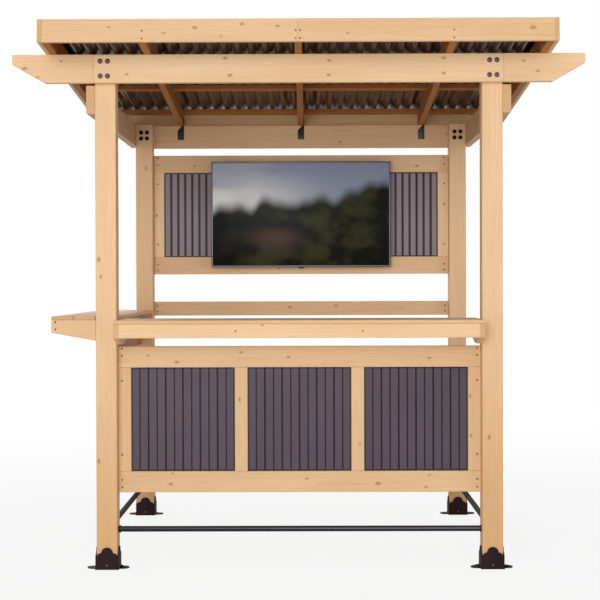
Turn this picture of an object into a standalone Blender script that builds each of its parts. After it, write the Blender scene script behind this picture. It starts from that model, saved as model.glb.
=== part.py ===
"""Bar gazebo: a timber lean-to with a corrugated steel roof, a bar counter and a screen wall.

Metres, +Z up. The front, with the bar, faces -Y. The ground is Z = 0 and the origin is
under the middle of the whole outline.
"""

import math

import bmesh
import bpy
from mathutils import Matrix, Vector

# Posts and where they stand
POST_SIZE = 0.100
POST_SPACING_X = 1.857
POST_SPACING_Y = 1.700
POST_EDGE = 0.005
BOARD_EDGE = 0.002

# Fitting clearances
GAP = 0.0003
BOOT_CLEARANCE = 0.001
CUT_MARGIN = 0.050

# Beams on the posts
BEAM_DEPTH = 0.135
BEAM_THICKNESS = 0.041
FRONT_BEAM_TOP = 2.4715
SIDE_BEAM_DROP = 0.0075
TAIL_LENGTH = 0.389
TAIL_NOSE = 0.046
TAIL_SLOPE_LENGTH = 0.156

# Roof
ROOF_FALL = 0.1485
SIDE_OVERHANG = 0.2265
FRONT_OVERHANG = 0.288
BACK_CLEARANCE = 0.014
RAFTER_THICKNESS = 0.034
RAFTER_DEPTH = 0.088
RAFTER_INSET = 0.2585
BATTEN_WIDTH = 0.060
BATTEN_DEPTH = 0.025
BATTEN_COUNT = 3
BATTEN_FROM_BACK = 0.110
FASCIA_THICKNESS = 0.020
FASCIA_DEPTH = 0.108
SHEET_PITCH = 0.068
SHEET_WAVE = 0.016
SHEET_THICKNESS = 0.0010
SHEET_STEPS_PER_WAVE = 8

# Steel ties between the rafters and the back beam
TIE_WIDTH = 0.038
TIE_THICKNESS = 0.003
TIE_DROP = 0.085
TIE_NECK = 0.016
TIE_SHOULDER = 0.030
TIE_RISE = 0.050

# Boots
BOOT_WALL = 0.005
BOOT_FLOOR = 0.006
BOOT_CORNER_HEIGHT = 0.068
BOOT_LOBE_HEIGHT = 0.080
BOOT_PEAK_HEIGHT = 0.107
BOOT_ARCH_HALF_WIDTH = 0.028
BOOT_NOTCH_INSET = 0.009
BOOT_EAR_REACH = 0.046
BOOT_EAR_WIDTH = 0.060
BOOT_BOLT_HOLE = 0.012
BOOT_ARC_STEPS = 8
BOOT_WELD = 0.0015
BOLT_HOLE_STEPS = 12

# Panels of rails, stiles and ribbed infill
PANEL_THICKNESS = 0.035
PANEL_RAIL = 0.102
PANEL_STILE = 0.062
PANEL_SETBACK = 0.008
BAR_PANEL_BOTTOM = 0.365
BAR_PANEL_DROP = 0.130
BAR_PANEL_BAYS = 3
SCREEN_PANEL_HEIGHT = 0.708
SCREEN_PANEL_DROP = 0.048
RIB_PITCH = 0.042
RIB_JOINT_WIDTH = 0.009
RIB_JOINT_DEPTH = 0.010
RIB_GROOVE_WIDTH = 0.006
RIB_GROOVE_DEPTH = 0.005
RIB_FLOOR_SHARE = 0.6
RIB_SHEET = 0.0012
RIB_RECESS = 0.008

# Rail across the back under the screen panel
BACK_RAIL_DROP = 0.163
BACK_RAIL_DEPTH = 0.083
BACK_RAIL_THICKNESS = 0.028

# Counters
BAR_TOP_HEIGHT = 1.203
COUNTER_BOARD = 0.017
BAR_FRONT_REACH = 0.134
BAR_DEPTH = 0.447
BAR_BOARDS = 4
APRON_DEPTH = 0.067
APRON_THICKNESS = 0.020
APRON_SETBACK = 0.004
SIDE_BOARDS_OUTBOARD = 2
SIDE_BOARD_WIDTH = 0.104
BOARD_SEAM = 0.003
SEAM_DEPTH = 0.004
ARM_THICKNESS = 0.024
ARM_DEPTH = 0.100
ARM_TIP_DEPTH = 0.061
SIDE_RAIL_THICKNESS = 0.026
SIDE_RAIL_DEPTH = 0.085

# Screen on the wall panel
SCREEN_WIDTH = 1.062
SCREEN_HEIGHT = 0.624
SCREEN_THICKNESS = 0.032
SCREEN_BEZEL = 0.009
SCREEN_RECESS = 0.002
SCREEN_STANDOFF = 0.028
HANGER_WIDTH = 0.045
HANGER_SPACING = 0.400
HANGER_LAP = 0.040

# Foot rails
FOOT_RAIL_HEIGHT = 0.189
FOOT_RAIL_RADIUS = 0.013
SOCKET_RADIUS = 0.018
SOCKET_LENGTH = 0.010
ROUND_STEPS = 20

# Finishes: base colour, roughness, metallic
FINISHES = {
    "cedar": ((0.80, 0.52, 0.30), 0.55, 0.0),
    "shaded_cedar": ((0.62, 0.38, 0.22), 0.60, 0.0),
    "roof_steel": ((0.060, 0.035, 0.032), 0.40, 0.6),
    "ribbed_panel": ((0.125, 0.095, 0.120), 0.45, 0.2),
    "black_steel": ((0.020, 0.018, 0.018), 0.45, 0.8),
    "dark_screen": ((0.010, 0.011, 0.013), 0.15, 0.0),
}

# Places worked out from the sizes above: the posts' faces and the rafters across, the beams' heights
POST_OUTER = (POST_SPACING_X + POST_SIZE) / 2
POST_INNER = (POST_SPACING_X - POST_SIZE) / 2
RAFTER_SPACING = POST_OUTER - RAFTER_INSET
BACK_BEAM_TOP = FRONT_BEAM_TOP - ROOF_FALL
SIDE_BEAM_TOP = FRONT_BEAM_TOP - BEAM_DEPTH - SIDE_BEAM_DROP

# The roof's slope, which the two beams carry, and its outline centred on the origin
PITCH = math.atan2(ROOF_FALL, POST_SPACING_Y + POST_SIZE + BEAM_THICKNESS)
ROOF_TURN = Matrix.Rotation(-PITCH, 4, "X")
BACK_BEAM_REACH = FRONT_OVERHANG + POST_SPACING_Y + POST_SIZE + GAP + BEAM_THICKNESS
ROOF_LENGTH = (BACK_BEAM_REACH + BACK_CLEARANCE) / math.cos(PITCH) + FASCIA_THICKNESS
ROOF_HALF_WIDTH = POST_OUTER + SIDE_OVERHANG
ROOF_Y = -(ROOF_LENGTH * math.cos(PITCH) + FASCIA_DEPTH * math.sin(PITCH)) / 2
POST_FRONT = ROOF_Y + FRONT_OVERHANG
POST_BACK = POST_FRONT + POST_SPACING_Y + POST_SIZE
BEAM_FRONT = POST_FRONT - GAP - BEAM_THICKNESS
ROOF_Z = FRONT_BEAM_TOP + (BEAM_FRONT - ROOF_Y) * math.tan(PITCH)
BATTEN_SPAN = ROOF_LENGTH - BATTEN_FROM_BACK

# The panels' and counters' heights
BAR_PANEL_TOP = BAR_TOP_HEIGHT - BAR_PANEL_DROP
SCREEN_PANEL_TOP = BACK_BEAM_TOP - BEAM_DEPTH - SCREEN_PANEL_DROP
SCREEN_PANEL_BOTTOM = SCREEN_PANEL_TOP - SCREEN_PANEL_HEIGHT
BACK_RAIL_TOP = SCREEN_PANEL_BOTTOM - BACK_RAIL_DROP
SIDE_TOP_HEIGHT = BAR_TOP_HEIGHT + COUNTER_BOARD + GAP


def clear_scene():
    """Starts from an empty scene."""
    for old in list(bpy.data.objects):
        bpy.data.objects.remove(old, do_unlink=True)


def new_collection(name):
    """A collection under the scene's own."""
    collection = bpy.data.collections.new(name)
    bpy.context.scene.collection.children.link(collection)
    return collection


clear_scene()
GAZEBO = new_collection("gazebo")
CUTTERS = new_collection("cutters")


def move_to(obj, collection):
    """Keeps an object in one collection only."""
    for other in list(obj.users_collection):
        other.objects.unlink(obj)
    collection.objects.link(obj)


def add_part(obj, name, finish):
    """Names a finished piece, files it in the gazebo and gives it a material of its own."""
    obj.name = name
    obj.data.name = name
    colour, roughness, metallic = FINISHES[finish]
    material = bpy.data.materials.new(f"{name}_{finish}")
    material.use_nodes = True
    shader = material.node_tree.nodes["Principled BSDF"]
    shader.inputs["Base Color"].default_value = (*colour, 1.0)
    shader.inputs["Roughness"].default_value = roughness
    shader.inputs["Metallic"].default_value = metallic
    obj.data.materials.clear()
    obj.data.materials.append(material)
    move_to(obj, GAZEBO)
    return obj


def box(low, high):
    """A plain box between two corners, with its origin at its middle."""
    low = Vector(low)
    high = Vector(high)
    bpy.ops.mesh.primitive_cube_add(size=1, location=(low + high) / 2)
    obj = bpy.context.active_object
    obj.scale = high - low
    bpy.ops.object.transform_apply(location=False, rotation=False, scale=True)
    return obj


def ease_edges(obj, width, segments=1):
    """Takes the sharpness off sawn edges."""
    bevel = obj.modifiers.new("eased_edges", "BEVEL")
    bevel.width = width
    bevel.segments = segments
    bevel.limit_method = "ANGLE"
    return obj


def board(name, low, high, finish="cedar"):
    """Planed timber between two corners."""
    return add_part(ease_edges(box(low, high), BOARD_EDGE), name, finish)


def lay_on_roof(obj):
    """Turns a piece made in roof coordinates (across, down the slope, up) to the roof's pitch."""
    obj.matrix_world = Matrix.Translation((0, ROOF_Y, ROOF_Z)) @ ROOF_TURN @ obj.matrix_world
    return obj


def roof_board(name, low, high, finish="cedar"):
    """Planed timber between two corners in roof coordinates."""
    obj = ease_edges(lay_on_roof(box(low, high)), BOARD_EDGE)
    return add_part(obj, name, finish)


def cut(obj, cutter, operation="DIFFERENCE"):
    """Cuts one solid by another, or joins it, and keeps the other one out of the render."""
    move_to(cutter, CUTTERS)
    cutter.hide_render = True
    cutter.display_type = "WIRE"
    boolean = obj.modifiers.new(operation.lower(), "BOOLEAN")
    boolean.operation = operation
    boolean.solver = "EXACT"
    boolean.object = cutter
    return obj


def outline_solid(points, thickness, turn):
    """A flat outline filled and thickened, turned from the XY plane and made a mesh."""
    curve = bpy.data.curves.new("outline", "CURVE")
    curve.dimensions = "2D"
    curve.fill_mode = "BOTH"
    curve.extrude = thickness / 2
    spline = curve.splines.new("POLY")
    spline.points.add(len(points) - 1)
    for point, (across, up) in zip(spline.points, points):
        point.co = (across, up, 0, 1)
    spline.use_cyclic_u = True
    guide = bpy.data.objects.new("outline", curve)
    GAZEBO.objects.link(guide)
    bpy.context.view_layer.update()
    evaluated = guide.evaluated_get(bpy.context.evaluated_depsgraph_get())
    mesh = bpy.data.meshes.new_from_object(evaluated)
    bpy.data.objects.remove(guide)
    shape = bmesh.new()
    shape.from_mesh(mesh)
    bmesh.ops.remove_doubles(shape, verts=shape.verts, dist=1e-6)
    bmesh.ops.recalc_face_normals(shape, faces=shape.faces)
    shape.to_mesh(mesh)
    shape.free()
    mesh.transform(turn)
    obj = bpy.data.objects.new("outline", mesh)
    GAZEBO.objects.link(obj)
    return obj


# An outline drawn in XY stands up in the XZ plane, in the YZ plane, or lies flat
STAND_ACROSS = Matrix.Rotation(math.radians(90), 4, "X")
STAND_ALONG = Matrix.Rotation(math.radians(90), 4, "Z") @ STAND_ACROSS
LIE_FLAT = Matrix.Identity(4)


def standing(points, thickness, turn, centre):
    """An outline solid whose own middle plane is put at a place."""
    obj = outline_solid(points, thickness, turn)
    obj.location = centre
    return obj


def swept_sheet(profile, sweep, thickness):
    """Thin sheet metal: an open profile swept straight, with its thickness to both sides."""
    shape = bmesh.new()
    verts = [shape.verts.new(point) for point in profile]
    edges = [shape.edges.new(pair) for pair in zip(verts, verts[1:])]
    swept = bmesh.ops.extrude_edge_only(shape, edges=edges)["geom"]
    moved = [item for item in swept if isinstance(item, bmesh.types.BMVert)]
    bmesh.ops.translate(shape, verts=moved, vec=sweep)
    bmesh.ops.recalc_face_normals(shape, faces=shape.faces)
    mesh = bpy.data.meshes.new("sheet")
    shape.to_mesh(mesh)
    shape.free()
    obj = bpy.data.objects.new("sheet", mesh)
    GAZEBO.objects.link(obj)
    solidify = obj.modifiers.new("sheet_thickness", "SOLIDIFY")
    solidify.thickness = thickness
    solidify.offset = 0
    solidify.use_even_offset = True
    return obj


def turned(profile, steps):
    """A round solid about Z from (radius, height) points, listed from the top down."""
    shape = bmesh.new()
    verts = [shape.verts.new((radius, 0, height)) for radius, height in profile]
    for pair in zip(verts, verts[1:]):
        shape.edges.new(pair)
    mesh = bpy.data.meshes.new("turned")
    shape.to_mesh(mesh)
    shape.free()
    obj = bpy.data.objects.new("turned", mesh)
    GAZEBO.objects.link(obj)
    screw = obj.modifiers.new("turned", "SCREW")
    screw.axis = "Z"
    screw.steps = steps
    screw.render_steps = steps
    screw.use_merge_vertices = True
    screw.merge_threshold = 0.00001
    return obj


def post_middles():
    """Each post's name part, with the middle of its plan."""
    for side, x in (("left", -POST_SPACING_X / 2), ("right", POST_SPACING_X / 2)):
        yield f"front_{side}", x, POST_FRONT + POST_SIZE / 2, FRONT_BEAM_TOP
        yield f"back_{side}", x, POST_BACK - POST_SIZE / 2, BACK_BEAM_TOP


def make_posts():
    """Four square posts, each standing on the floor of its boot."""
    half = POST_SIZE / 2
    for place, x, y, top in post_middles():
        post = box((x - half, y - half, BOOT_FLOOR + GAP), (x + half, y + half, top))
        ease_edges(post, POST_EDGE, segments=2)
        add_part(post, f"{place}_post", "cedar")


def arc(centre, radii, start, end, steps):
    """Points along an elliptical arc, from the start angle to the end angle in degrees."""
    points = []
    for step in range(steps + 1):
        angle = math.radians(start + (end - start) * step / steps)
        across = centre[0] + radii[0] * math.cos(angle)
        up = centre[1] + radii[1] * math.sin(angle)
        points.append((across, up))
    return points


def boot_top_outline(half_width):
    """What is cut away above one wall of a boot: the wall keeps a round arch between two lobes."""
    beyond = half_width + CUT_MARGIN
    above = BOOT_PEAK_HEIGHT + CUT_MARGIN
    notch = half_width - BOOT_NOTCH_INSET
    lobe_radii = (notch - BOOT_ARCH_HALF_WIDTH, BOOT_LOBE_HEIGHT - BOOT_CORNER_HEIGHT)
    lobe_centre = (BOOT_ARCH_HALF_WIDTH, BOOT_CORNER_HEIGHT)
    arch_radii = (BOOT_ARCH_HALF_WIDTH, BOOT_PEAK_HEIGHT - BOOT_LOBE_HEIGHT)
    right = [(beyond, above), (beyond, BOOT_LOBE_HEIGHT)]
    right += arc(lobe_centre, lobe_radii, 0, 90, BOOT_ARC_STEPS // 2)
    right += arc((0, BOOT_LOBE_HEIGHT), arch_radii, 0, 90, BOOT_ARC_STEPS)[1:]
    left = [(-across, up) for across, up in reversed(right[:-1])]
    return right + left


def boot_plan(half_width, reach):
    """A boot's base plate from above: a square with a round-ended ear at each side."""
    ear = BOOT_EAR_WIDTH / 2
    root = ear + BOOT_WELD
    end_centre = reach - ear
    right = [(half_width, -half_width), (half_width, -root)]
    right += arc((end_centre, 0), (ear, ear), -90, 90, BOOT_ARC_STEPS)
    right += [(half_width, root), (half_width, half_width)]
    left = [(-across, -up) for across, up in right]
    return right + left


def make_boots():
    """Steel boots: a base plate with two ears and a square sleeve with ogee-topped walls."""
    inner = POST_SIZE / 2 + BOOT_CLEARANCE
    outer = inner + BOOT_WALL
    middle = (inner + outer) / 2
    plate = outer + BOOT_WELD
    reach = outer + BOOT_EAR_REACH
    for place, x, y, _ in post_middles():
        boot = standing(boot_plan(plate, reach), BOOT_FLOOR, LIE_FLAT, (x, y, BOOT_FLOOR / 2))
        sleeve_low = (x - outer, y - outer, BOOT_FLOOR / 2)
        sleeve = box(sleeve_low, (x + outer, y + outer, BOOT_PEAK_HEIGHT + BOOT_WALL))
        cut(boot, sleeve, "UNION")
        hollow_high = (x + inner, y + inner, BOOT_PEAK_HEIGHT + CUT_MARGIN)
        cut(boot, box((x - inner, y - inner, BOOT_FLOOR), hollow_high))
        for side in (-1, 1):
            outline = boot_top_outline(outer)
            at_front = (x, y + side * middle, 0)
            cut(boot, standing(outline, 2 * BOOT_WALL, STAND_ACROSS, at_front))
            at_side = (x + side * middle, y, 0)
            cut(boot, standing(outline, 2 * BOOT_WALL, STAND_ALONG, at_side))
            bpy.ops.mesh.primitive_cylinder_add(
                vertices=BOLT_HOLE_STEPS,
                radius=BOOT_BOLT_HOLE / 2,
                depth=BOOT_FLOOR + CUT_MARGIN,
                location=(x + side * (reach - BOOT_EAR_WIDTH / 2), y, 0),
            )
            cut(boot, bpy.context.active_object)
        add_part(boot, f"{place}_boot", "black_steel")


def tail_outline(side):
    """A beam tail seen from the front: square nose, then a slope down to full depth."""
    root = POST_OUTER + GAP
    tip = POST_OUTER + TAIL_LENGTH
    top = FRONT_BEAM_TOP
    bottom = top - BEAM_DEPTH
    points = [
        (root, bottom),
        (tip - TAIL_SLOPE_LENGTH, bottom),
        (tip, top - TAIL_NOSE),
        (tip, top),
        (root, top),
    ]
    return [(side * across, up) for across, up in points]


def make_beams():
    """The front beam with its two tails, the side beams and the back beam."""
    back_of_beam = POST_FRONT - GAP
    front_bottom = FRONT_BEAM_TOP - BEAM_DEPTH
    board(
        "front_beam",
        (-POST_OUTER, BEAM_FRONT, front_bottom),
        (POST_OUTER, back_of_beam, FRONT_BEAM_TOP),
    )
    for side, name in ((-1, "left"), (1, "right")):
        centre = (0, (BEAM_FRONT + back_of_beam) / 2, 0)
        tail = standing(tail_outline(side), BEAM_THICKNESS, STAND_ACROSS, centre)
        add_part(ease_edges(tail, BOARD_EDGE), f"front_beam_{name}_tail", "cedar")
        inner = POST_OUTER + GAP
        ends = sorted((side * inner, side * (inner + BEAM_THICKNESS)))
        board(
            f"{name}_side_beam",
            (ends[0], POST_FRONT, SIDE_BEAM_TOP - BEAM_DEPTH),
            (ends[1], POST_BACK + GAP + BEAM_THICKNESS, SIDE_BEAM_TOP),
        )
    board(
        "back_beam",
        (-POST_OUTER, POST_BACK + GAP, BACK_BEAM_TOP - BEAM_DEPTH),
        (POST_OUTER, POST_BACK + GAP + BEAM_THICKNESS, BACK_BEAM_TOP),
    )


def batten_places():
    """How far down the slope the middle of each batten lies."""
    return [BATTEN_SPAN * (index + 1) / BATTEN_COUNT for index in range(BATTEN_COUNT)]


def rafter_middles():
    """Each rafter's name part and the middle of its width."""
    edge = ROOF_HALF_WIDTH - FASCIA_THICKNESS - GAP - RAFTER_THICKNESS / 2
    yield "left_edge", -edge
    yield "left", -RAFTER_SPACING
    yield "middle", 0.0
    yield "right", RAFTER_SPACING
    yield "right_edge", edge


def cut_front_seat(piece, x):
    """Cuts a level seat into a sloping piece where it bears on the front beam or its tail."""
    seat = box(
        (x - CUT_MARGIN, BEAM_FRONT - CUT_MARGIN, FRONT_BEAM_TOP - CUT_MARGIN),
        (x + CUT_MARGIN, POST_FRONT, FRONT_BEAM_TOP + GAP),
    )
    cut(piece, seat)


def cut_back_seat(piece, x):
    """Cuts a level seat into a sloping piece where it bears on the back beam."""
    seat = box(
        (x - CUT_MARGIN, POST_BACK - CUT_MARGIN, BACK_BEAM_TOP - CUT_MARGIN),
        (x + CUT_MARGIN, POST_BACK + BEAM_THICKNESS + 2 * GAP, BACK_BEAM_TOP + GAP),
    )
    cut(piece, seat)


def make_rafters():
    """Rafters with a level seat cut over each beam and a notch on top for each batten."""
    half = RAFTER_THICKNESS / 2
    front = FASCIA_THICKNESS + GAP
    back = ROOF_LENGTH - FASCIA_THICKNESS - GAP
    for place, x in rafter_middles():
        rafter = lay_on_roof(box((x - half, front, 0), (x + half, back, RAFTER_DEPTH)))
        ease_edges(rafter, BOARD_EDGE)
        cut_front_seat(rafter, x)
        if abs(x) < POST_OUTER:
            cut_back_seat(rafter, x)
        for middle in batten_places():
            low = middle - BATTEN_WIDTH / 2 - GAP
            high = middle + BATTEN_WIDTH / 2 + GAP
            floor = RAFTER_DEPTH - BATTEN_DEPTH - GAP
            notch = box(
                (x - CUT_MARGIN, low, floor),
                (x + CUT_MARGIN, high, RAFTER_DEPTH + CUT_MARGIN),
            )
            cut(rafter, lay_on_roof(notch))
        add_part(rafter, f"{place}_rafter", "shaded_cedar")


def make_roof_edges():
    """Battens let into the rafters, fascia boards across their ends and barge boards at the sides.

    The front fascia is two lengths butted over the middle rafter.
    """
    inside = ROOF_HALF_WIDTH - FASCIA_THICKNESS - GAP
    floor = RAFTER_DEPTH - BATTEN_DEPTH
    for number, middle in enumerate(batten_places(), start=1):
        roof_board(
            f"roof_batten_{number}",
            (-inside, middle - BATTEN_WIDTH / 2, floor),
            (inside, middle + BATTEN_WIDTH / 2, RAFTER_DEPTH),
            "shaded_cedar",
        )
    roof_board("front_fascia_left", (-inside, 0, 0), (-GAP / 2, FASCIA_THICKNESS, FASCIA_DEPTH))
    roof_board("front_fascia_right", (GAP / 2, 0, 0), (inside, FASCIA_THICKNESS, FASCIA_DEPTH))
    roof_board(
        "back_fascia",
        (-inside, ROOF_LENGTH - FASCIA_THICKNESS, 0),
        (inside, ROOF_LENGTH, RAFTER_DEPTH),
    )
    for side, name in ((-1, "left"), (1, "right")):
        ends = sorted((side * ROOF_HALF_WIDTH, side * (inside + GAP)))
        barge = roof_board(
            f"{name}_barge_board",
            (ends[0], 0, 0),
            (ends[1], ROOF_LENGTH, FASCIA_DEPTH),
        )
        cut_front_seat(barge, side * ROOF_HALF_WIDTH)


def make_roof_sheet():
    """Corrugated sheet steel laid in waves down the slope, its troughs on the battens."""
    half = ROOF_HALF_WIDTH - FASCIA_THICKNESS - 2 * GAP
    steps = round(2 * half / SHEET_PITCH) * SHEET_STEPS_PER_WAVE
    middle = RAFTER_DEPTH + GAP + (SHEET_WAVE + SHEET_THICKNESS) / 2
    front = FASCIA_THICKNESS + GAP
    profile = []
    for step in range(steps + 1):
        across = -half + 2 * half * step / steps
        wave = math.cos(2 * math.pi * step / SHEET_STEPS_PER_WAVE)
        profile.append(Vector((across, front, middle - SHEET_WAVE / 2 * wave)))
    sheet = swept_sheet(profile, (0, ROOF_LENGTH - front, 0), SHEET_THICKNESS)
    add_part(lay_on_roof(sheet), "roof_sheet", "roof_steel")


def tie_outline(back_reach):
    """The lower plate of a tie: square at the foot, sloping to a neck beside the rafter."""
    neck_left = TIE_WIDTH - TIE_NECK
    return [
        (0, -TIE_DROP),
        (TIE_WIDTH, -TIE_DROP),
        (TIE_WIDTH, back_reach),
        (neck_left, back_reach),
        (neck_left, -TIE_SHOULDER + neck_left),
        (0, -TIE_SHOULDER),
    ]


def make_ties():
    """Bent steel ties: a plate on the face of the back beam and a tab up the rafter's side."""
    plate_y = POST_BACK - TIE_THICKNESS / 2
    tab_back = POST_BACK + BEAM_THICKNESS
    for place, x in rafter_middles():
        if "edge" in place:
            continue
        tab_left = x + RAFTER_THICKNESS / 2 + GAP
        left = tab_left + TIE_THICKNESS - TIE_WIDTH
        centre = (left, plate_y, BACK_BEAM_TOP)
        tie = standing(tie_outline(-GAP), TIE_THICKNESS, STAND_ACROSS, centre)
        tab_front = plate_y - TIE_THICKNESS / 2
        tab = box(
            (tab_left, tab_front, BACK_BEAM_TOP - TIE_SHOULDER / 2),
            (tab_left + TIE_THICKNESS, plate_y + TIE_THICKNESS / 2, BACK_BEAM_TOP + TIE_RISE),
        )
        cut(tie, tab, "UNION")
        side = box(
            (tab_left, plate_y, BACK_BEAM_TOP + GAP),
            (tab_left + TIE_THICKNESS, tab_back, BACK_BEAM_TOP + TIE_RISE),
        )
        cut(tie, side, "UNION")
        add_part(tie, f"{place}_rafter_tie", "black_steel")


def rib_profile(width, face_y):
    """Across a ribbed board: flat faces parted in turn by a deep joint and a shallow groove."""
    count = max(2, round(width / RIB_PITCH))
    pitch = width / count
    points = [(-width / 2, face_y)]
    for index in range(1, count):
        middle = -width / 2 + index * pitch
        is_joint = index % 2 == 0
        mouth = RIB_JOINT_WIDTH if is_joint else RIB_GROOVE_WIDTH
        depth = RIB_JOINT_DEPTH if is_joint else RIB_GROOVE_DEPTH
        floor = mouth * RIB_FLOOR_SHARE
        points.append((middle - mouth / 2, face_y))
        points.append((middle - floor / 2, face_y + depth))
        points.append((middle + floor / 2, face_y + depth))
        points.append((middle + mouth / 2, face_y))
    points.append((width / 2, face_y))
    return points


def make_panel(name, front_y, bottom, top, bays):
    """A framed panel between two posts: rails across, stiles between them, ribbed infill."""
    back_y = front_y + PANEL_THICKNESS
    half = POST_INNER - GAP
    low = bottom + PANEL_RAIL
    high = top - PANEL_RAIL
    board(f"{name}_bottom_rail", (-half, front_y, bottom), (half, back_y, low - GAP))
    board(f"{name}_top_rail", (-half, front_y, high + GAP), (half, back_y, top))
    bay = (2 * half - (bays + 1) * PANEL_STILE) / bays
    for index in range(bays + 1):
        left = -half + index * (bay + PANEL_STILE)
        board(
            f"{name}_stile_{index + 1}",
            (left, front_y, low),
            (left + PANEL_STILE, back_y, high),
        )
    for index in range(bays):
        middle = -half + PANEL_STILE + bay / 2 + index * (bay + PANEL_STILE)
        face_y = front_y + RIB_RECESS
        profile = [
            Vector((middle + across, out, low + GAP))
            for across, out in rib_profile(bay - 2 * GAP, face_y)
        ]
        infill = swept_sheet(profile, (0, 0, high - low - 2 * GAP), RIB_SHEET)
        label = f"{name}_ribs_{index + 1}" if bays > 1 else f"{name}_ribs"
        add_part(infill, label, "ribbed_panel")


def make_panels():
    """The bar's front panel, the screen panel and the rail below it."""
    bar_face = POST_FRONT + POST_SIZE - PANEL_SETBACK - PANEL_THICKNESS
    make_panel("bar_panel", bar_face, BAR_PANEL_BOTTOM, BAR_PANEL_TOP, BAR_PANEL_BAYS)
    back_face = POST_BACK - PANEL_SETBACK
    screen_face = back_face - PANEL_THICKNESS
    make_panel("screen_panel", screen_face, SCREEN_PANEL_BOTTOM, SCREEN_PANEL_TOP, 1)
    half = POST_INNER - GAP
    board(
        "lower_back_rail",
        (-half, back_face - BACK_RAIL_THICKNESS, BACK_RAIL_TOP - BACK_RAIL_DEPTH),
        (half, back_face, BACK_RAIL_TOP),
    )


def make_bar_counter():
    """The bar top of four boards on a tapered arm at each front post, with an apron between them."""
    half = POST_INNER - GAP
    front = POST_FRONT - BAR_FRONT_REACH
    back = front + BAR_DEPTH
    underside = BAR_TOP_HEIGHT - COUNTER_BOARD
    top = board("bar_counter_top", (-half, front, underside), (half, back, BAR_TOP_HEIGHT))
    width = BAR_DEPTH / BAR_BOARDS
    for index in range(1, BAR_BOARDS):
        seam_y = front + index * width
        seam = box(
            (-half - GAP, seam_y - BOARD_SEAM / 2, BAR_TOP_HEIGHT - SEAM_DEPTH),
            (half + GAP, seam_y + BOARD_SEAM / 2, BAR_TOP_HEIGHT + SEAM_DEPTH),
        )
        cut(top, seam)
    tip = front + APRON_SETBACK
    apron_top = underside - GAP
    between = half - ARM_THICKNESS - GAP
    board(
        "bar_counter_apron",
        (-between, tip, apron_top - APRON_DEPTH),
        (between, tip + APRON_THICKNESS, apron_top),
    )
    arm_outline = [
        (tip, apron_top),
        (tip, apron_top - APRON_DEPTH),
        (POST_FRONT, apron_top - ARM_DEPTH),
        (POST_FRONT + POST_SIZE, apron_top - ARM_DEPTH),
        (back - BOARD_SEAM, apron_top - ARM_TIP_DEPTH),
        (back - BOARD_SEAM, apron_top),
    ]
    for side, name in ((-1, "left"), (1, "right")):
        centre = (side * (half - ARM_THICKNESS / 2), 0, 0)
        arm = standing(arm_outline, ARM_THICKNESS, STAND_ALONG, centre)
        add_part(ease_edges(arm, BOARD_EDGE), f"bar_counter_{name}_arm", "cedar")


def make_side_counter():
    """The side counter: boards round the left posts on two tapered arms and a rail."""
    post_back_y = POST_BACK - POST_SIZE
    outboard = SIDE_BOARDS_OUTBOARD * (SIDE_BOARD_WIDTH + BOARD_SEAM)
    inner = -POST_INNER
    at_post = -POST_OUTER - GAP
    outer = at_post - outboard
    plan = [
        (outer, POST_FRONT),
        (at_post, POST_FRONT),
        (at_post, POST_FRONT + POST_SIZE + GAP),
        (inner, POST_FRONT + POST_SIZE + GAP),
        (inner, post_back_y - GAP),
        (at_post, post_back_y - GAP),
        (at_post, POST_BACK),
        (outer, POST_BACK),
    ]
    underside = SIDE_TOP_HEIGHT - COUNTER_BOARD
    middle = (0, 0, (underside + SIDE_TOP_HEIGHT) / 2)
    top = standing(plan, COUNTER_BOARD, LIE_FLAT, middle)
    ease_edges(top, BOARD_EDGE)
    for index in range(1, SIDE_BOARDS_OUTBOARD + 1):
        seam_x = outer + index * (SIDE_BOARD_WIDTH + BOARD_SEAM) - BOARD_SEAM / 2
        seam = box(
            (seam_x - BOARD_SEAM / 2, POST_FRONT - GAP, SIDE_TOP_HEIGHT - SEAM_DEPTH),
            (seam_x + BOARD_SEAM / 2, POST_BACK + GAP, SIDE_TOP_HEIGHT + SEAM_DEPTH),
        )
        cut(top, seam)
    add_part(top, "side_counter_top", "cedar")
    arm_top = underside - GAP
    arm_outline = [
        (at_post, arm_top),
        (outer, arm_top),
        (outer, arm_top - ARM_TIP_DEPTH),
        (at_post, arm_top - ARM_DEPTH),
    ]
    for name, middle_y in (
        ("front", POST_FRONT + ARM_THICKNESS / 2 + BOARD_EDGE),
        ("back", POST_BACK - ARM_THICKNESS / 2 - BOARD_EDGE),
    ):
        arm = standing(arm_outline, ARM_THICKNESS, STAND_ACROSS, (0, middle_y, 0))
        add_part(ease_edges(arm, BOARD_EDGE), f"side_counter_{name}_arm", "cedar")
    board(
        "side_counter_rail",
        (-POST_OUTER, POST_FRONT + POST_SIZE + GAP, arm_top - SIDE_RAIL_DEPTH),
        (-POST_OUTER + SIDE_RAIL_THICKNESS, post_back_y - GAP, arm_top),
    )


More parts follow.
